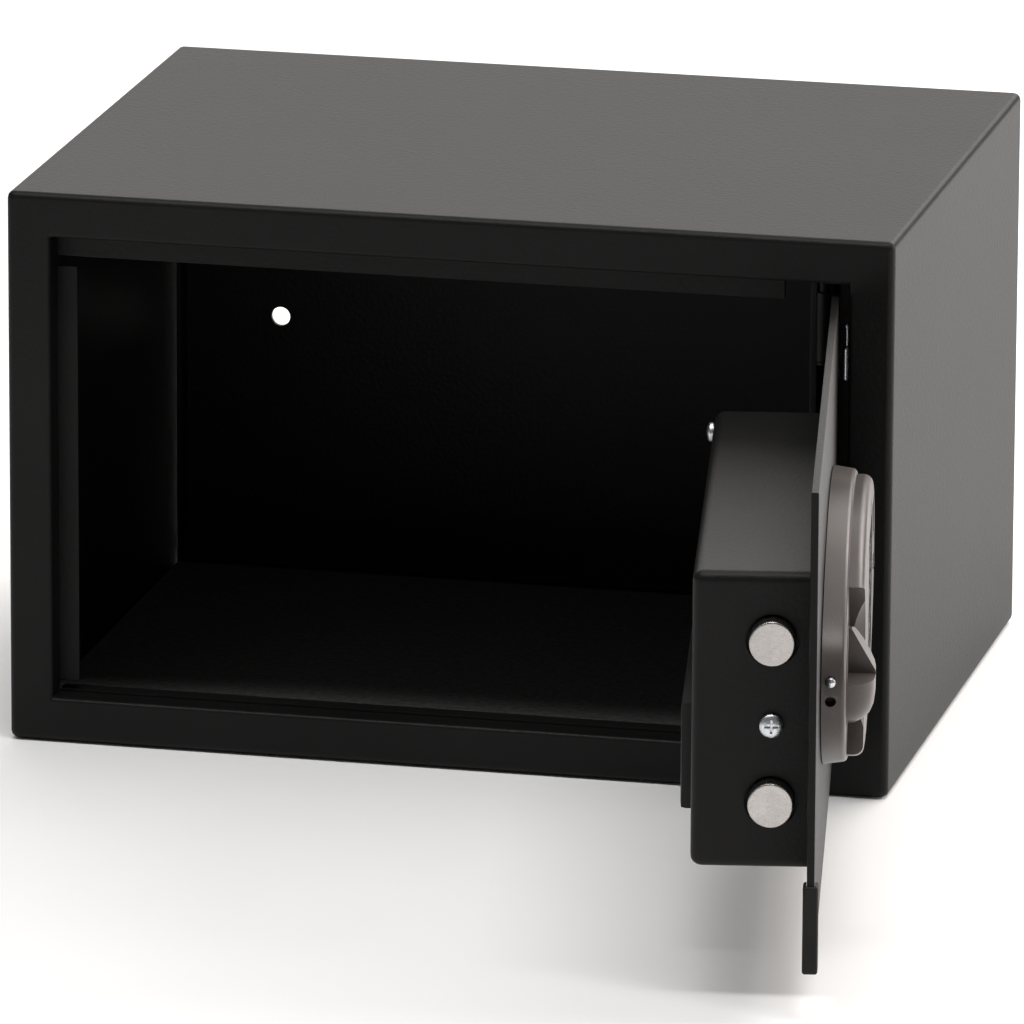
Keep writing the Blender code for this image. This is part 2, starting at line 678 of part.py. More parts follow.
def battery_holder():
    low = (HOLDER_LOW[0], CASE_IN - HOLDER_DEPTH, HOLDER_LOW[1])
    high = (HOLDER_HIGH[0], CASE_IN - 0.0002, HOLDER_HIGH[1])
    made = put("battery_holder", box_mesh(low, high), DOOR, (0, 0, 0), "black_plastic")
    mid_x = (HOLDER_LOW[0] + HOLDER_HIGH[0]) / 2
    mid_z = (HOLDER_LOW[1] + HOLDER_HIGH[1]) / 2
    wall = 0.0010
    pockets = []
    for side in (-1, 1):
        near = mid_x + side * 0.0006
        far = mid_x + side * ((HOLDER_HIGH[0] - HOLDER_LOW[0]) / 2 - wall)
        pockets.append(((min(near, far), CASE_IN - HOLDER_DEPTH + wall, HOLDER_LOW[1] + wall),
                        (max(near, far), CASE_IN + 0.01, HOLDER_HIGH[1] - wall)))
    cut(made, put("battery_pockets", boxes_mesh(pockets), DOOR))
    for column, side in enumerate((-1, 1)):
        for row, lift in enumerate((-1, 1)):
            name = "battery_%d" % (2 * column + row + 1)
            facing = X_AXIS if row == 0 else -X_AXIS
            centre = Vector((mid_x + side * 0.0264, CASE_IN - HOLDER_DEPTH + wall + CELL_R + GAP, mid_z + lift * 0.0076))
            half = CELL_LEN / 2
            profile = [(0, half), (0.0027, half), (0.0027, half - 0.0012), (0.0064, half - 0.0014),
                       (CELL_R, half - 0.0020), (CELL_R, 0.0007 - half), (CELL_R - 0.0007, -half), (0, -half)]
            turned(name, profile, DOOR, centre, "cell", facing, 24)


def battery_cover():
    """Sliding plastic lid over the battery window."""
    low = (HOLDER_LOW[0] - 0.0010, 0, HOLDER_LOW[1] - 0.0012)
    high = (HOLDER_HIGH[0] + 0.0010, LID_THICK, HOLDER_HIGH[1] + 0.0012)
    bm = box_mesh(low, high)
    rim = [e for e in bm.edges if min(v.co.y for v in e.verts) > LID_THICK / 2]
    bmesh.ops.bevel(bm, geom=rim, offset=0.0018, segments=2, profile=0.7, affect="EDGES")
    made = put("battery_cover", bm, DOOR, (0, CASE_IN + GAP, 0), "black_plastic")
    smooth(made)


def circuit_board():
    """Board behind the cover with its driver block and buzzer."""
    thick = 0.0016
    y = CASE_IN - 0.0085
    low = (0.0410, y, 0.0560)
    high = (0.0835, y + thick, 0.1300)
    made = put("circuit_board", box_mesh(low, high), DOOR, (0, 0, 0), "board")
    blocks = boxes_mesh([((0.0460, y - 0.0050, 0.0640), (0.0640, y + 0.0004, 0.0760)),
                         ((0.0500, y - 0.0024, 0.0860), (0.0600, y + 0.0004, 0.1020)),
                         ((0.0680, y - 0.0030, 0.1060), (0.0790, y + 0.0004, 0.1170))])
    cut(made, put("board_blocks", blocks, DOOR), "UNION")


def reset_button():
    profile = [(0, 0.0052), (0.0024, 0.0052), (0.0030, 0.0046), (0.0030, 0), (0, 0)]
    base = CASE_IN - 0.0085 + 0.0016 + 0.0012
    turned("reset_button", profile, DOOR, (RESET_X, base, RESET_Z), "red", Y_AXIS, 24)


# ---------------------------------------------------------------- housing, keys and knob
def oval_block(name, levels, at, look=None):
    """Closed oval block from (inset, height) levels, standing off the door."""
    rings = []
    for inset, level in levels:
        rings.append((ellipse(HOUSING_A - inset, HOUSING_B - inset, 56), -level))
    made = put(name, stacked_rings(rings, True), DOOR, at, look)
    base_fill(made)
    return made


def housing():
    """Oval plate with a raised key pod that is scooped round the knob's dish."""
    at = (HOUSING_X, FACE_OUT - GAP, HOUSING_Z)
    face = (KNOB_X, FACE_OUT - GAP, LOCK_Z)
    levels = [(0.0, 0.0), (PLATE_TAPER, PLATE_H - PLATE_EDGE)]
    levels += [(PLATE_TAPER + PLATE_EDGE - a, PLATE_H - PLATE_EDGE + b)
               for a, b in arc((0, 0), PLATE_EDGE, 30, 90, 2)]
    made = oval_block("housing", levels, at, "champagne")
    inset = PLATE_TAPER + PLATE_EDGE + POD_INSET
    levels = [(inset, 0.001), (inset, HOUSING_H - SHOULDER)]
    levels += [(inset + SHOULDER - a, HOUSING_H - SHOULDER + b) for a, b in arc((0, 0), SHOULDER, 18, 90, 4)]
    pod = oval_block("key_pod", levels, at)
    scoop = rod_mesh(POD_SCOOP, PLATE_H - 0.0004, HOUSING_H + 0.01, -Y_AXIS, 64)
    bmesh.ops.translate(scoop, vec=(-0.010, 0, 0), verts=scoop.verts)
    cut(pod, put("pod_scoop", scoop, DOOR, face))
    low = (-0.1, -HOUSING_H - 0.01, -0.06)
    high = (-0.002, -PLATE_H + 0.0004, 0.06)
    cut(pod, put("pod_end", box_mesh(low, high), DOOR, face))
    cut(made, pod, "UNION")
    bm = bmesh.new()
    bmesh.ops.create_cone(bm, cap_ends=True, segments=48, radius1=DISH_R - 0.002, radius2=DISH_R + 0.006,
                          depth=0.010)
    bmesh.ops.translate(bm, vec=(0, 0, DISH_H + 0.005), verts=bm.verts)
    bm.transform(Z_AXIS.rotation_difference(-Y_AXIS).to_matrix().to_4x4())
    cut(made, put("knob_dish", bm, DOOR, face))
    hollow_housing(made, at)
    low = (KEYS_X - KEYPAD_HALF_X, FACE_OUT - 0.03, HOUSING_Z - KEYPAD_HALF_Z)
    high = (KEYS_X + KEYPAD_HALF_X, FACE_OUT - HOUSING_H + 0.004, HOUSING_Z + KEYPAD_HALF_Z)
    cut(made, put("key_window", box_mesh(low, high), DOOR))
    cut(made, put("knob_bore", rod_mesh(SPINDLE_R + 0.0004, -0.03, 0.03, Y_AXIS, 24), DOOR,
                  (KNOB_X, FACE_OUT, LOCK_Z)))
    cut(made, put("key_bore", rod_mesh(0.0070, -0.03, -PLATE_H, Y_AXIS, 32), DOOR, (LOCKHOLE_X, FACE_OUT, LOCK_Z)))
    cut(made, put("cylinder_bore", rod_mesh(0.0086, 0.0026 - HOUSING_H, 0.01, Y_AXIS, 32), DOOR,
                  (LOCKHOLE_X, FACE_OUT, LOCK_Z)))
    lamps = rods_mesh(0.0017, LAMP_SPOTS, -0.03, 0.03, Y_AXIS, 16)
    cut(made, put("lamp_holes", lamps, DOOR, (0, FACE_OUT, 0)))
    low = (-CAP_W / 2 - GAP, -HOUSING_H - 0.01, -CAP_H / 2 - GAP)
    high = (CAP_W / 2 + GAP, -HOUSING_H + CAP_THICK + GAP, CAP_H / 2 + CAP_TRAVEL + GAP)
    cut(made, put("cap_recess", box_mesh(low, high), DOOR, (LOCKHOLE_X, FACE_OUT - GAP, LOCK_Z)))
    spots = [(0, 0, z) for z in (CONTACT_Z, SOCKET_Z)]
    wells = rods_mesh(CONTACT_R + 0.0002, spots, -0.0060, 0.01, -X_AXIS, 20)
    cut(made, put("contact_wells", wells, DOOR, (HOUSING_X - HOUSING_A, FACE_OUT - GAP - CONTACT_OUT, 0)))


def power_contact():
    """Round stud over an empty socket in the end wall of the housing, for an outside battery."""
    profile = [(0, 0.0008), (0.0009, 0.0006), (CONTACT_R, 0.0001), (CONTACT_R, -0.0040), (0, -0.0040)]
    at = (HOUSING_X - HOUSING_A, FACE_OUT - GAP - CONTACT_OUT, CONTACT_Z)
    turned("power_contact", profile, DOOR, at, "zinc", -X_AXIS, 20)


def base_fill(made):
    """Closes the oval surface into a solid block before it is hollowed."""
    rim = made.data
    bm = bmesh.new()
    bm.from_mesh(rim)
    loop = [e for e in bm.edges if e.is_boundary]
    bmesh.ops.contextual_create(bm, geom=loop)
    bmesh.ops.recalc_face_normals(bm, faces=bm.faces)
    bm.to_mesh(rim)
    bm.free()
    smooth(made)


def hollow_housing(made, at):
    """Cavities behind the wall and under the key field, open towards the door."""
    wall = HOUSING_WALL
    outline = ellipse(HOUSING_A - wall - 0.0045, HOUSING_B - wall - 0.0020, 48)
    low = stacked_rings([(outline, 0.01), (outline, wall - DISH_H)], True)
    base = [e for e in low.edges if e.is_boundary]
    bmesh.ops.contextual_create(low, geom=base)
    bmesh.ops.recalc_face_normals(low, faces=low.faces)
    cut(made, put("hollow_low", low, DOOR, at))
    tall = HOUSING_H - wall
    near = (-0.0325, -tall, -0.0260)
    far = (0.0262, 0.01, 0.0260)
    cut(made, put("hollow_keys", box_mesh(near, far), DOOR, (KEYS_X, FACE_OUT - GAP, HOUSING_Z)))


def keypad():
    """Dark key frame set in the window, and its twelve keys."""
    top = FACE_OUT - GAP - HOUSING_H
    low = (KEYS_X - KEYPAD_HALF_X + GAP, top + 0.0002, HOUSING_Z - KEYPAD_HALF_Z + GAP)
    high = (KEYS_X + KEYPAD_HALF_X - GAP, top + 0.0018, HOUSING_Z + KEYPAD_HALF_Z - GAP)
    panel = put("key_frame", box_mesh(low, high), DOOR, (0, 0, 0), "black_plastic")
    holes = []
    clear = 0.0003
    count = 1
    for row in range(4):
        for column in range(3):
            x = KEYS_X + (column - 1) * KEY_PITCH_X
            z = HOUSING_Z + (1.5 - row) * KEY_PITCH_Z
            half_x = KEY_W / 2 + clear
            half_z = KEY_H / 2 + clear
            holes.append(((x - half_x, top - 0.01, z - half_z), (x + half_x, top + 0.01, z + half_z)))
            key_button("key_%02d" % count, (x, top + KEY_THICK + KEY_SUNK, z))
            count += 1
    cut(panel, put("key_holes", boxes_mesh(holes), DOOR))


def key_button(name, at):
    bm = box_mesh((-KEY_W / 2, -KEY_THICK, -KEY_H / 2), (KEY_W / 2, 0, KEY_H / 2))
    rim = [e for e in bm.edges if max(v.co.y for v in e.verts) < 0.0001 - KEY_THICK]
    bmesh.ops.bevel(bm, geom=rim, offset=0.0008, segments=2, profile=0.6, affect="EDGES")
    smooth(put(name, bm, DOOR, at, "key_grey"))


def lamps():
    top = FACE_OUT - GAP - HOUSING_H
    for name, spot, look in (("lamp_red", LAMP_SPOTS[0], "red"), ("lamp_green", LAMP_SPOTS[1], "green")):
        profile = [(0, 0.0030), (0.0010, 0.0028), (0.0014, 0.0022), (0.0014, 0), (0, 0)]
        turned(name, profile, DOOR, (spot[0], top + 0.0036, spot[2]), look, -Y_AXIS, 16)


def knob():
    """Round skirt under a dome with one sloped half and a finger scoop, and the parts it turns."""
    at = Vector((KNOB_X, FACE_OUT - GAP, LOCK_Z))
    start = DISH_H + GAP
    bm = rod_mesh(KNOB_R, start, start + KNOB_SKIRT, -Y_AXIS, 48, 0.0006)
    base = put("knob", bm, DOOR, at, "champagne")
    smooth(base, 40)
    tall = KNOB_H - start
    profile = [(0, tall), (0.0050, tall - 0.0001), (0.0090, tall - 0.0006), (0.0120, tall - 0.0019),
               (0.0142, tall - 0.0042), (0.0155, tall - 0.0068), (0.0158, 0.0008), (0, 0.0008)]
    dome = turned("knob_dome", profile, DOOR, at - Y_AXIS * start, None, -Y_AXIS, 48)
    slope = box_mesh((-0.03, -0.03, 0.0), (0.03, 0.0, 0.03))
    tilt = math.atan2(0.0086, 0.0150)
    cut(dome, put("dome_slope", slope, DOOR, at + Vector((0, -KNOB_H - 0.0004, 0.0010)), None, (-tilt, 0, 0)))
    scoop = box_mesh((-0.03, -0.03, 0.0008), (-0.0010, -start - KNOB_SKIRT, 0.03))
    cut(dome, put("finger_scoop", scoop, DOOR, at))
    cut(base, dome, "UNION")
    socket = put("knob_socket", rod_mesh(0.0031, -start - 0.0020, 0.0, Y_AXIS, 16), DOOR, at)
    cut(base, socket)
    inner = FACE_IN + 0.0006 - at.y
    profile = [(0, start + 0.0016), (0.0030, start + 0.0016), (0.0030, DISH_H - 0.0010), (SPINDLE_R, DISH_H - 0.0015),
               (SPINDLE_R, -inner), (0, -inner)]
    turned("knob_spindle", profile, DOOR, at, "zinc", -Y_AXIS, 24)
    cam(at, inner)


def cam(at, inner):
    """Disc behind the door plate with the pin that drives the bolts."""
    gap = GAP
    disc = rod_mesh(0.0165, inner + gap, inner + gap + 0.003, Y_AXIS, 40)
    made = put("drive_cam", disc, DOOR, at, "zinc")
    smooth(made, 40)
    reach = CARRIAGE_Y + 0.0022 - at.y
    pin = put("cam_pin", rod_mesh(0.0024, inner + gap + 0.001, reach, Y_AXIS, 24), DOOR,
              at + Vector((THROW / 2, 0, THROW / 2)))
    cut(made, pin, "UNION")


def key_lock():
    """Override cylinder with its tail cam, and the plate that slides over its mouth."""
    mouth = Vector((LOCKHOLE_X, FACE_OUT - GAP - HOUSING_H + 0.0032, LOCK_Z))
    length = HOUSING_H + 0.0228
    neck = length - 0.0090
    profile = [(0, length), (0.0070, length), (0.0070, neck), (0.0080, neck), (0.0080, 0.0006),
               (0.0074, 0), (0, 0)]
    made = turned("key_cylinder", profile, DOOR, mouth, "chrome", Y_AXIS, 32)
    slot = box_mesh((-0.0006, -0.01, -0.0038), (0.0006, 0.0100, 0.0038))
    cut(made, put("keyway", slot, DOOR, mouth))
    base = mouth.y + length + GAP
    low = (-0.0045, 0, -0.0045)
    high = (0.0045, 0.002, 0.0150)
    tail = put("key_cam", box_mesh(low, high), DOOR, (LOCKHOLE_X, base, LOCK_Z), "zinc")
    round_edges(tail, 0.0006, 2)
    plate = box_mesh((-CAP_W / 2, -CAP_THICK, -CAP_H / 2), (CAP_W / 2, 0, CAP_H / 2))
    ridges = boxes_mesh([((-0.0035, -CAP_THICK - 0.0004, z - 0.0003), (0.0035, -CAP_THICK / 2, z + 0.0003))
                         for z in (-0.0015, 0.0, 0.0015)])
    cap = put("key_cap", plate, DOOR, (LOCKHOLE_X, FACE_OUT - GAP - HOUSING_H + CAP_THICK, LOCK_Z), "champagne")
    grip = put("cap_ridges", ridges, DOOR, (LOCKHOLE_X, FACE_OUT - GAP - HOUSING_H + CAP_THICK, LOCK_Z))
    cut(cap, grip, "UNION")


# ---------------------------------------------------------------- build
def build():
    body_shell()
    back_panel()
    stop_strips()
    hinge_channel()
    hinge_bracket("hinge_bracket_upper", OPEN_TOP - 0.0022, OPEN_TOP - 0.0002, 0.012)
    hinge_bracket("hinge_bracket_lower", OPEN_LOW - 0.0027, OPEN_LOW - 0.0007, -0.010)
    floor_mat()
    hinge_pocket_pin()
    door_plate()
    hinge_barrels()
    hinge_pins()
    corner_bumper()
    lock_cover()
    case_screws()
    bolt_guide()
    bolts()
    bolt_carriage()
    solenoid()
    battery_holder()
    battery_cover()
    circuit_board()
    reset_button()
    housing()
    keypad()
    lamps()
    power_contact()
    knob()
    key_lock()


build()
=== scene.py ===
import json
import math

import bmesh
import bpy
from mathutils import Matrix, Vector

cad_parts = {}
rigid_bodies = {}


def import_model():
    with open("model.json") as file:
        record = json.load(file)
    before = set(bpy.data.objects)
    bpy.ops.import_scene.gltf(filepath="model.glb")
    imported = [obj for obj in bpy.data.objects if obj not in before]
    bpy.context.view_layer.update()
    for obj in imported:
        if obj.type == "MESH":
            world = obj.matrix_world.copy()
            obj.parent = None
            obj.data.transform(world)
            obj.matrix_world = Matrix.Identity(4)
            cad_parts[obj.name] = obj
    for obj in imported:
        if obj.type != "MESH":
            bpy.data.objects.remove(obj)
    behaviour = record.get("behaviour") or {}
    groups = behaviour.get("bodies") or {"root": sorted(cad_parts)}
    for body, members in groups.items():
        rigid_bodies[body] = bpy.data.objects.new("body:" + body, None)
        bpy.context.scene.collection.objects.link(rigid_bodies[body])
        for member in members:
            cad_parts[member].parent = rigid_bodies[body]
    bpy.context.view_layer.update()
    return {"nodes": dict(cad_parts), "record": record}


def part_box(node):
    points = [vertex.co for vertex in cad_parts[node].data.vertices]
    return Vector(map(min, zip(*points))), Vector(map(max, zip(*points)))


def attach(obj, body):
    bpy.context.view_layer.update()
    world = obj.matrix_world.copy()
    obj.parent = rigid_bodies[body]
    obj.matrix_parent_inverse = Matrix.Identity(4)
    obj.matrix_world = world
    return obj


for leftover in list(bpy.data.objects):
    bpy.data.objects.remove(leftover, do_unlink=True)

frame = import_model()
NODES = frame["nodes"]
RECORD = frame["record"]
BODY_OF = {}
for body, members in RECORD["behaviour"]["bodies"].items():
    for member in members:
        BODY_OF[member] = body
SLOT_OF = {part["node"]: part["material_slot"] for part in RECORD["subparts"]}

# The door is stored open by this angle, which turns its own length and inward directions.
OPEN = math.radians(100.0)
ALONG = Vector((math.cos(OPEN), math.sin(OPEN), 0.0))
INWARD = Vector((-math.sin(OPEN), math.cos(OPEN), 0.0))
UP = Vector((0.0, 0.0, 1.0))

# Finer edges on the CAD pieces.
WELD_DISTANCE = 0.000002
FLAT_ANGLE = math.radians(0.6)
BEVEL_ANGLE = math.radians(35)
BEVEL_SEGMENTS = 2
SMOOTH_ANGLE = math.radians(35)
DEFAULT_EDGE = 0.0001

# Printed digits on the keys.
KEY_MARKS = "123456789*0#"
DIGIT_SIZE = 0.0078
DIGIT_RAISE = 0.00004

# Camera at the viewing angle: turned right of the front, looking down, with a slight roll.
CAMERA_AT = (0.8534, -3.7308, 1.0955)
CAMERA_TURN = math.radians(12.9326)
CAMERA_TILT = math.radians(15.1269)
CAMERA_ROLL = math.radians(0.2773)
CAMERA_LENS = 395.79

# Floor and world.
FLOOR_HALF = 12.0
FLOOR_DROP = 0.0005
WORLD_COLOUR = (1.0, 0.995, 0.985, 1.0)
WORLD_STRENGTH = 0.16

# Soft boxes: name, size, power, place, aim, colour.
LIGHTS = [
    ("back_wall", (5.0, 2.2), 62.0, (-0.6, 4.2, 1.9), (0, 0, 0.2), (1.0, 0.965, 0.935)),
    ("top_box", (2.2, 2.2), 24.0, (0.2, 0.5, 2.6), (0, 0, 0.1), (1.0, 0.985, 0.965)),
    ("edge_strip", (2.6, 0.25), 42.0, (0.1, -0.85, 2.4), (0, 0, 0.1), (1.0, 0.99, 0.98)),
    ("right_box", (2.0, 2.4), 82.0, (2.8, 0.9, 1.2), (0, 0, 0.1), (1.0, 0.955, 0.925)),
    ("floor_behind", (1.4, 1.0), 30.0, (1.0, 1.7, 1.5), (0.7, 1.1, 0.0), (1.0, 0.93, 0.89)),
    ("front_fill", (1.2, 1.2), 0.4, (-1.4, -2.8, 1.4), (0, 0, 0.1), (0.98, 0.99, 1.0)),
]


# ---------------------------------------------------------------- material helpers
class Paint:
    """One Principled material with object-space procedural detail."""

    def __init__(self, name):
        self.mat = bpy.data.materials.new(name)
        self.mat.use_nodes = True
        self.tree = self.mat.node_tree
        self.shader = self.tree.nodes["Principled BSDF"]
        self.coords = self.tree.nodes.new("ShaderNodeTexCoord")
        self.last_bump = None

    def node(self, kind, **values):
        made = self.tree.nodes.new(kind)
        for key, value in values.items():
            if hasattr(made, key):
                setattr(made, key, value)
            else:
                made.inputs[key.replace("_", " ")].default_value = value
        return made

    def link(self, source, target):
        self.tree.links.new(source, target)

    def stretched(self, scale):
        mapping = self.node("ShaderNodeMapping")
        mapping.inputs["Scale"].default_value = scale
        self.link(self.coords.outputs["Object"], mapping.inputs["Vector"])
        return mapping.outputs["Vector"]

    def noise(self, scale, detail=3.0, rough=0.55, stretch=None):
        made = self.node("ShaderNodeTexNoise")
        made.inputs["Scale"].default_value = scale
        made.inputs["Detail"].default_value = detail
        made.inputs["Roughness"].default_value = rough
        source = self.coords.outputs["Object"] if stretch is None else self.stretched(stretch)
        self.link(source, made.inputs["Vector"])
        return made.outputs["Fac"]

    def ramp(self, source, low, high, start=0.3, end=0.7):
        made = self.node("ShaderNodeMapRange")
        made.inputs["From Min"].default_value = start
        made.inputs["From Max"].default_value = end
        made.inputs["To Min"].default_value = low
        made.inputs["To Max"].default_value = high
        self.link(source, made.inputs["Value"])
        return made.outputs["Result"]

    def colours(self, source, low, high, start=0.3, end=0.7):
        made = self.node("ShaderNodeValToRGB")
        made.color_ramp.elements[0].position = start
        made.color_ramp.elements[1].position = end
        made.color_ramp.elements[0].color = (*low, 1.0)
        made.color_ramp.elements[1].color = (*high, 1.0)
        self.link(source, made.inputs["Fac"])
        self.link(made.outputs["Color"], self.shader.inputs["Base Color"])
        return made.outputs["Color"]

    def bump(self, source, depth, strength=1.0):
        made = self.node("ShaderNodeBump")
        made.inputs["Distance"].default_value = depth
        made.inputs["Strength"].default_value = strength
        self.link(source, made.inputs["Height"])
        if self.last_bump is not None:
            self.link(self.last_bump, made.inputs["Normal"])
        self.last_bump = made.outputs["Normal"]
        self.link(self.last_bump, self.shader.inputs["Normal"])

    def rough(self, source, low, high, start=0.3, end=0.7):
        self.link(self.ramp(source, low, high, start, end), self.shader.inputs["Roughness"])

    def sockets(self, **values):
        for key, value in values.items():
            self.shader.inputs[key.replace("_", " ")].default_value = value


def powder_coat():
    """Black polyester powder coat: fine orange peel and a faint dusty variation."""
    paint = Paint("powder_coat")
    peel = paint.noise(560.0, 3.0, 0.6)
    grain = paint.noise(2600.0, 2.0, 0.5)
    cloud = paint.noise(14.0, 4.0, 0.6)
    paint.colours(cloud, (0.0048, 0.0046, 0.0045), (0.0076, 0.0072, 0.0070), 0.3, 0.72)
    paint.rough(grain, 0.38, 0.52, 0.25, 0.75)
    paint.bump(peel, 0.00022, 0.75)
    paint.bump(grain, 0.00004, 0.5)
    paint.sockets(Specular_IOR_Level=0.16)
    return paint.mat


def plated(name, colour, low, high, stretch):
    """Bright plate with fine drawn lines and faint handling marks."""
    paint = Paint(name)
    lines = paint.noise(900.0, 2.0, 0.5, stretch)
    marks = paint.noise(160.0, 4.0, 0.6)
    dark = tuple(c * 0.86 for c in colour)
    paint.colours(marks, dark, colour, 0.3, 0.6)
    paint.rough(lines, low, high, 0.3, 0.7)
    paint.bump(lines, 0.00001, 0.5)
    paint.sockets(Metallic=1.0)
    return paint.mat


def champagne():
    """Metallic lacquer over moulded plastic: fine flake with a soft satin top."""
    paint = Paint("champagne_lacquer")
    flake = paint.noise(4200.0, 1.0, 0.4)
    cloud = paint.noise(40.0, 3.0, 0.5)
    paint.colours(flake, (0.058, 0.050, 0.047), (0.094, 0.081, 0.077), 0.3, 0.7)
    paint.rough(cloud, 0.30, 0.40, 0.3, 0.7)
    paint.bump(flake, 0.000012, 0.5)
    paint.sockets(Metallic=0.20, Specular_IOR_Level=0.30)
    return paint.mat


def moulded(name, low, high, rough_low, rough_high, grain=1800.0, depth=0.00003):
    """Moulded plastic with a fine spark-eroded grain."""
    paint = Paint(name)
    fine = paint.noise(grain, 2.0, 0.5)
    cloud = paint.noise(60.0, 3.0, 0.5)
    paint.colours(cloud, low, high)
    paint.rough(fine, rough_low, rough_high)
    paint.bump(fine, depth, 0.6)
    paint.sockets(Specular_IOR_Level=0.22)
    return paint.mat


def felt():
    paint = Paint("needle_felt")
    fibre = paint.noise(2400.0, 6.0, 0.75)
    tuft = paint.noise(420.0, 3.0, 0.6)
    paint.colours(tuft, (0.018, 0.018, 0.018), (0.075, 0.073, 0.071), 0.3, 0.7)
    paint.rough(fibre, 0.85, 1.0)
    paint.bump(tuft, 0.0006, 0.8)
    paint.bump(fibre, 0.0003, 0.9)
    paint.sockets(Sheen_Weight=0.15, Sheen_Roughness=0.5, Specular_IOR_Level=0.1)
    return paint.mat


def lens(name, dark, light):
    paint = Paint(name)
    cloud = paint.noise(300.0, 2.0, 0.5)
    paint.colours(cloud, dark, light)
    paint.rough(cloud, 0.08, 0.16)
    paint.sockets(Coat_Weight=0.6, Coat_Roughness=0.05)
    return paint.mat


def copper_winding():
    """Enamelled wire: close turns round the coil's own upright axis."""
    paint = Paint("copper_winding")
    wave = paint.node("ShaderNodeTexWave", wave_type="BANDS", bands_direction="Z")
    wave.inputs["Scale"].default_value = 900.0
    wave.inputs["Distortion"].default_value = 0.6
    paint.link(paint.coords.outputs["Object"], wave.inputs["Vector"])
    paint.colours(wave.outputs["Fac"], (0.20, 0.06, 0.025), (0.62, 0.24, 0.10), 0.1, 0.9)
    paint.rough(paint.noise(500.0), 0.22, 0.38)
    paint.bump(wave.outputs["Fac"], 0.0001, 0.8)
    paint.sockets(Metallic=0.85, Coat_Weight=0.4)
    return paint.mat


def solder_mask():
    """Green board with paler tracks under the mask."""
    paint = Paint("solder_mask")
    brick = paint.node("ShaderNodeTexBrick", offset=0.35)
    brick.inputs["Scale"].default_value = 150.0
    brick.inputs["Mortar Size"].default_value = 0.06
    brick.inputs["Color1"].default_value = (0.006, 0.055, 0.020, 1)
    brick.inputs["Color2"].default_value = (0.007, 0.065, 0.024, 1)
    brick.inputs["Mortar"].default_value = (0.030, 0.150, 0.060, 1)
    paint.link(paint.stretched((1.0, 1.0, 2.4)), brick.inputs["Vector"])
    paint.link(brick.outputs["Color"], paint.shader.inputs["Base Color"])
    paint.rough(paint.noise(400.0), 0.25, 0.4)
    paint.bump(brick.outputs["Fac"], 0.00003, 0.6)
    return paint.mat


FINISH = {
    "black_paint": powder_coat(),
    "nickel": plated("nickel_plate", (0.47, 0.45, 0.435), 0.22, 0.34, (1.0, 1.0, 9.0)),
    "chrome": plated("chrome_plate", (0.76, 0.76, 0.77), 0.10, 0.18, (1.0, 1.0, 5.0)),
    "zinc": plated("zinc_plate", (0.62, 0.64, 0.67), 0.24, 0.40, (1.0, 1.0, 3.0)),
    "champagne": champagne(),
    "felt": felt(),
    "black_plastic": moulded("black_plastic", (0.006, 0.006, 0.006), (0.010, 0.010, 0.010), 0.42, 0.55),
    "rubber": moulded("black_rubber", (0.006, 0.006, 0.006), (0.010, 0.010, 0.009), 0.50, 0.68,
                      1100.0, 0.00005),
    "board": solder_mask(),
    "copper": copper_winding(),
    "cell": moulded("cell_sleeve", (0.02, 0.02, 0.025), (0.035, 0.035, 0.042), 0.22, 0.32),
    "red_button": moulded("red_button", (0.35, 0.012, 0.012), (0.45, 0.02, 0.02), 0.3, 0.42),
    "red_lens": lens("red_lens", (0.30, 0.005, 0.005), (0.55, 0.02, 0.02)),
    "green_lens": lens("green_lens", (0.01, 0.22, 0.02), (0.03, 0.42, 0.05)),
    "key_grey": moulded("key_grey", (0.16, 0.16, 0.165), (0.20, 0.20, 0.205), 0.40, 0.52),
}


# ---------------------------------------------------------------- finer edges on the CAD pieces
def smooth_group():
    """Node group that smooths faces and keeps edges sharper than a limit."""
    group = bpy.data.node_groups.new("smooth_by_edge", "GeometryNodeTree")
    group.interface.new_socket("Geometry", in_out="INPUT", socket_type="NodeSocketGeometry")
    group.interface.new_socket("Geometry", in_out="OUTPUT", socket_type="NodeSocketGeometry")
    limit = group.interface.new_socket("Limit", in_out="INPUT", socket_type="NodeSocketFloat")
    limit.default_value = SMOOTH_ANGLE
    nodes = group.nodes
    start = nodes.new("NodeGroupInput")
    end = nodes.new("NodeGroupOutput")
    faces = nodes.new("GeometryNodeSetShadeSmooth")
    faces.domain = "FACE"
    edges = nodes.new("GeometryNodeSetShadeSmooth")
    edges.domain = "EDGE"
    angle = nodes.new("GeometryNodeInputMeshEdgeAngle")
    less = nodes.new("FunctionNodeCompare")
    less.data_type = "FLOAT"
    less.operation = "LESS_THAN"
    group.links.new(start.outputs["Geometry"], faces.inputs["Geometry"])
    group.links.new(faces.outputs["Geometry"], edges.inputs["Geometry"])
    group.links.new(angle.outputs["Unsigned Angle"], less.inputs[0])
    group.links.new(start.outputs["Limit"], less.inputs[1])
    group.links.new(less.outputs["Result"], edges.inputs["Shade Smooth"])
    group.links.new(edges.outputs["Geometry"], end.inputs["Geometry"])
    return group


SMOOTH = smooth_group()


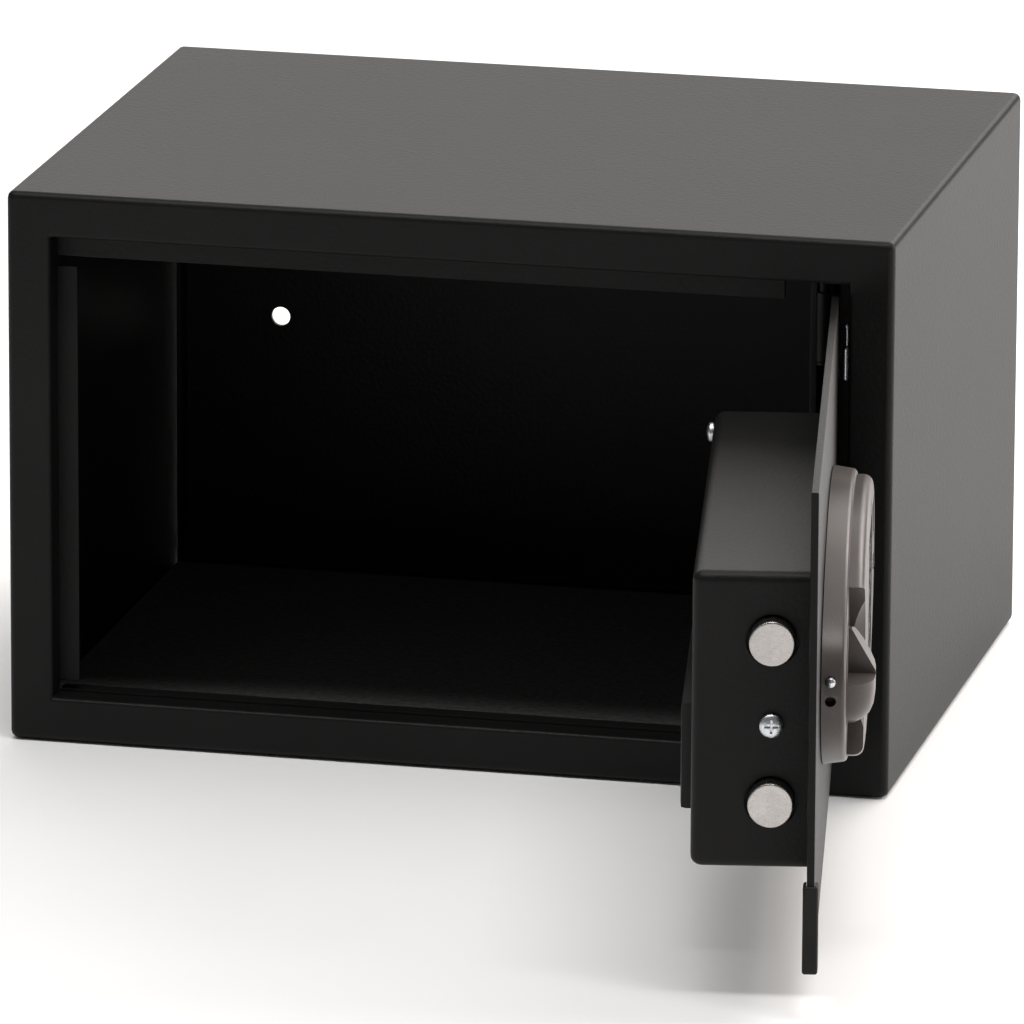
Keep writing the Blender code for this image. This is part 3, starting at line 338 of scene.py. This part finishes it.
def refine(obj, width=0.0):
    """Welds the triangles, dissolves flat seams, rounds sharp edges and keeps big faces looking flat."""
    weld = obj.modifiers.new("weld", "WELD")
    weld.merge_threshold = WELD_DISTANCE
    flat = obj.modifiers.new("flat", "DECIMATE")
    flat.decimate_type = "DISSOLVE"
    flat.angle_limit = FLAT_ANGLE
    if width > 0:
        bevel = obj.modifiers.new("edges", "BEVEL")
        bevel.width = width
        bevel.segments = BEVEL_SEGMENTS
        bevel.limit_method = "ANGLE"
        bevel.angle_limit = BEVEL_ANGLE
    shade = obj.modifiers.new("shade", "NODES")
    shade.node_group = SMOOTH
    even = obj.modifiers.new("even", "WEIGHTED_NORMAL")
    even.keep_sharp = True
    even.weight = 100


EDGE_WIDTH = {
    "body_shell": 0.0, "back_panel": 0.0002, "stop_strip_left": 0.0003, "stop_strip_top": 0.0003,
    "sill_strip": 0.0003, "hinge_channel": 0.0004, "door_plate": 0.00035, "lock_cover": 0.0002,
    "corner_bumper": 0.0, "housing": 0.0002, "knob": 0.0, "bolt_guide": 0.0002,
}
for name, obj in NODES.items():
    obj.data.materials.clear()
    obj.data.materials.append(FINISH[SLOT_OF[name]])
    refine(obj, EDGE_WIDTH.get(name, DEFAULT_EDGE))


# ---------------------------------------------------------------- digits on the keys
def key_faces():
    """Printed digits, standing a hair proud of each key."""
    ink = moulded("key_print", (0.72, 0.72, 0.70), (0.80, 0.80, 0.78), 0.45, 0.6)
    for count, mark in enumerate(KEY_MARKS, start=1):
        key = "key_%02d" % count
        low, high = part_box(key)
        centre = (low + high) / 2
        curve = bpy.data.curves.new("digit_%02d" % count, "FONT")
        curve.body = mark
        curve.size = DIGIT_SIZE
        curve.align_x = "CENTER"
        curve.align_y = "CENTER"
        curve.extrude = DIGIT_RAISE
        curve.resolution_u = 4
        letter = bpy.data.objects.new("digit_%02d" % count, curve)
        bpy.context.scene.collection.objects.link(letter)
        outer = -INWARD
        basis = Matrix((ALONG, UP, outer)).transposed()
        depth = max((v.co - centre).dot(outer) for v in NODES[key].data.vertices)
        letter.matrix_world = Matrix.Translation(centre + outer * (depth + DIGIT_RAISE)) @ basis.to_4x4()
        bpy.context.view_layer.update()
        solid = bpy.data.meshes.new_from_object(letter.evaluated_get(bpy.context.evaluated_depsgraph_get()))
        solid.transform(letter.matrix_world)
        bpy.data.objects.remove(letter, do_unlink=True)
        made = bpy.data.objects.new("digit_%02d" % count, solid)
        bpy.context.scene.collection.objects.link(made)
        solid.materials.clear()
        solid.materials.append(ink)
        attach(made, BODY_OF[key])


key_faces()


# ---------------------------------------------------------------- camera, floor and light
def camera():
    data = bpy.data.cameras.new("camera")
    made = bpy.data.objects.new("camera", data)
    bpy.context.scene.collection.objects.link(made)
    level = math.cos(CAMERA_TILT)
    ahead = Vector((-math.sin(CAMERA_TURN) * level, math.cos(CAMERA_TURN) * level, -math.sin(CAMERA_TILT)))
    right = ahead.cross(UP).normalized()
    top = right.cross(ahead)
    x_axis = right * math.cos(CAMERA_ROLL) + top * math.sin(CAMERA_ROLL)
    y_axis = top * math.cos(CAMERA_ROLL) - right * math.sin(CAMERA_ROLL)
    basis = Matrix((x_axis, y_axis, -ahead)).transposed()
    made.matrix_world = Matrix.Translation(CAMERA_AT) @ basis.to_4x4()
    data.lens = CAMERA_LENS
    data.sensor_width = 36.0
    data.clip_start = 0.05
    data.clip_end = 60.0
    bpy.context.scene.camera = made


def area(name, size, power, at, aim, colour):
    data = bpy.data.lights.new(name, "AREA")
    data.shape = "RECTANGLE"
    data.size, data.size_y = size
    data.energy = power
    data.color = colour
    made = bpy.data.objects.new(name, data)
    bpy.context.scene.collection.objects.link(made)
    made.location = at
    direction = Vector(aim) - Vector(at)
    made.rotation_euler = direction.to_track_quat("-Z", "Y").to_euler()


def studio():
    """Plain pale floor, soft boxes and a dim even world."""
    bm = bmesh.new()
    bmesh.ops.create_grid(bm, x_segments=4, y_segments=4, size=FLOOR_HALF)
    mesh = bpy.data.meshes.new("floor")
    bm.to_mesh(mesh)
    bm.free()
    floor = bpy.data.objects.new("floor", mesh)
    floor.location = (0, 0, -FLOOR_DROP)
    bpy.context.scene.collection.objects.link(floor)
    paint = Paint("floor_paper")
    paint.colours(paint.noise(3.0), (0.90, 0.90, 0.90), (0.93, 0.93, 0.93))
    paint.rough(paint.noise(40.0), 0.75, 0.85)
    mesh.materials.append(paint.mat)
    for light in LIGHTS:
        area(*light)
    world = bpy.data.worlds.new("studio")
    bpy.context.scene.world = world
    world.use_nodes = True
    background = world.node_tree.nodes["Background"]
    background.inputs["Color"].default_value = WORLD_COLOUR
    background.inputs["Strength"].default_value = WORLD_STRENGTH
    bpy.context.scene.view_settings.view_transform = "Standard"


camera()
studio()
